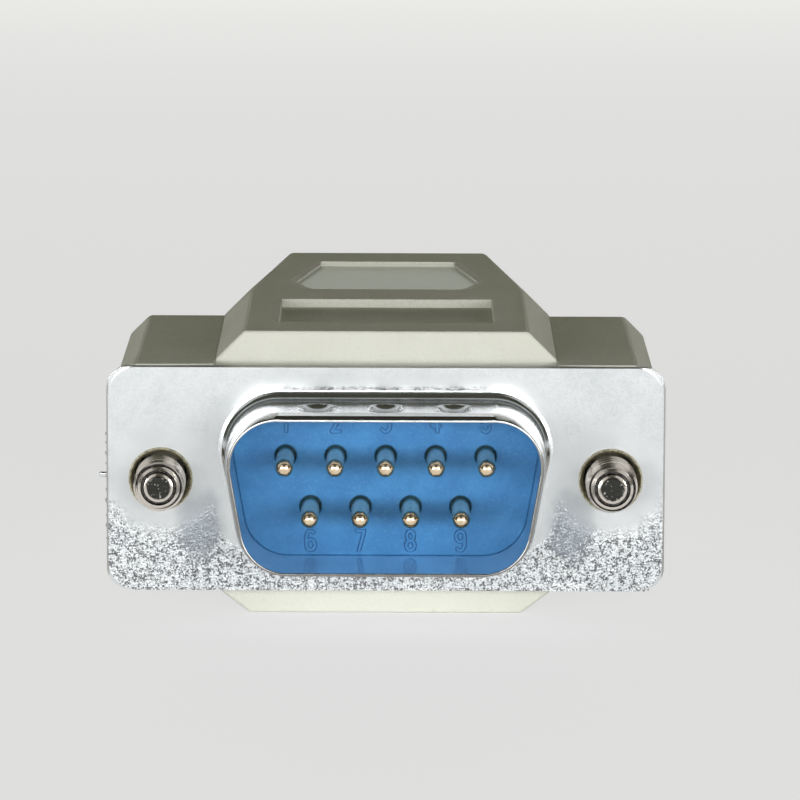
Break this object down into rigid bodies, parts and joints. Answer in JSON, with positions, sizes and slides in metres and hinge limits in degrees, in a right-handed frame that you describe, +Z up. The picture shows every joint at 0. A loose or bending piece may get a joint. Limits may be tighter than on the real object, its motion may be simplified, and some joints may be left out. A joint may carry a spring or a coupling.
{
  "type": "d-sub connector",
  "caption": "D-sub plug with two rows of contacts in a D-shaped shell, a two-part plastic hood with chamfered corners, and captive jackscrews in its ears.",
  "frame": {"origin": "centre of the flange's front face, on the axis of the contact pattern, midway between the two jackscrews", "axes": "+Y from the mating face towards the cable outlet, +Z up from the four-contact row to the five-contact row, +X to the right seen from in front of the mating face"},
  "size_m": [0.0314, 0.0409, 0.016],
  "materials": {
    "hood_plastic": "warm light grey, finely textured",
    "tinned_steel": "bright tin, finely speckled on the flange",
    "blue_resin": "blue, slightly mottled",
    "gold_contact": "gold-plated, polished",
    "eyelet_brass": "dull, grained",
    "screw_nickel": "nickel-plated",
    "spring_steel": "dark, satin",
    "clamp_steel": "zinc-plated, satin"
  },
  "bodies": {
    "plug": {"front_shell": "tinned_steel", "rear_shell": "tinned_steel", "front_insulator": "blue_resin", "rear_insulator": "blue_resin", "contact_1": "gold_contact", "contact_2": "gold_contact", "contact_3": "gold_contact", "contact_4": "gold_contact", "contact_5": "gold_contact", "contact_6": "gold_contact", "contact_7": "gold_contact", "contact_8": "gold_contact", "contact_9": "gold_contact", "eyelet_left": "eyelet_brass", "eyelet_right": "eyelet_brass", "hood_top": "hood_plastic", "hood_bottom": "hood_plastic", "hood_screw_left": "screw_nickel", "hood_screw_right": "screw_nickel", "cable_clamp": "clamp_steel", "clamp_screw_left": "screw_nickel", "clamp_screw_right": "screw_nickel"},
    "left_clip": {"screw_clip_left": "spring_steel"},
    "right_clip": {"screw_clip_right": "spring_steel"},
    "left_screw": {"jackscrew_left": "screw_nickel"},
    "right_screw": {"jackscrew_right": "screw_nickel"}
  },
  "joints": [
    {"name": "left_screw_slide", "type": "slide", "parent": "plug", "child": "left_clip", "axis": [0, 1, 0], "range_m": [0, 0.004]},
    {"name": "left_screw_turn", "type": "hinge", "parent": "left_clip", "child": "left_screw", "pos_m": [-0.01249, 0.01, 0], "axis": [0, 1, 0], "continuous": true},
    {"name": "right_screw_slide", "type": "slide", "parent": "plug", "child": "right_clip", "axis": [0, 1, 0], "range_m": [0, 0.004]},
    {"name": "right_screw_turn", "type": "hinge", "parent": "right_clip", "child": "right_screw", "pos_m": [0.01249, 0.01, 0], "axis": [0, 1, 0], "continuous": true}
  ]
}
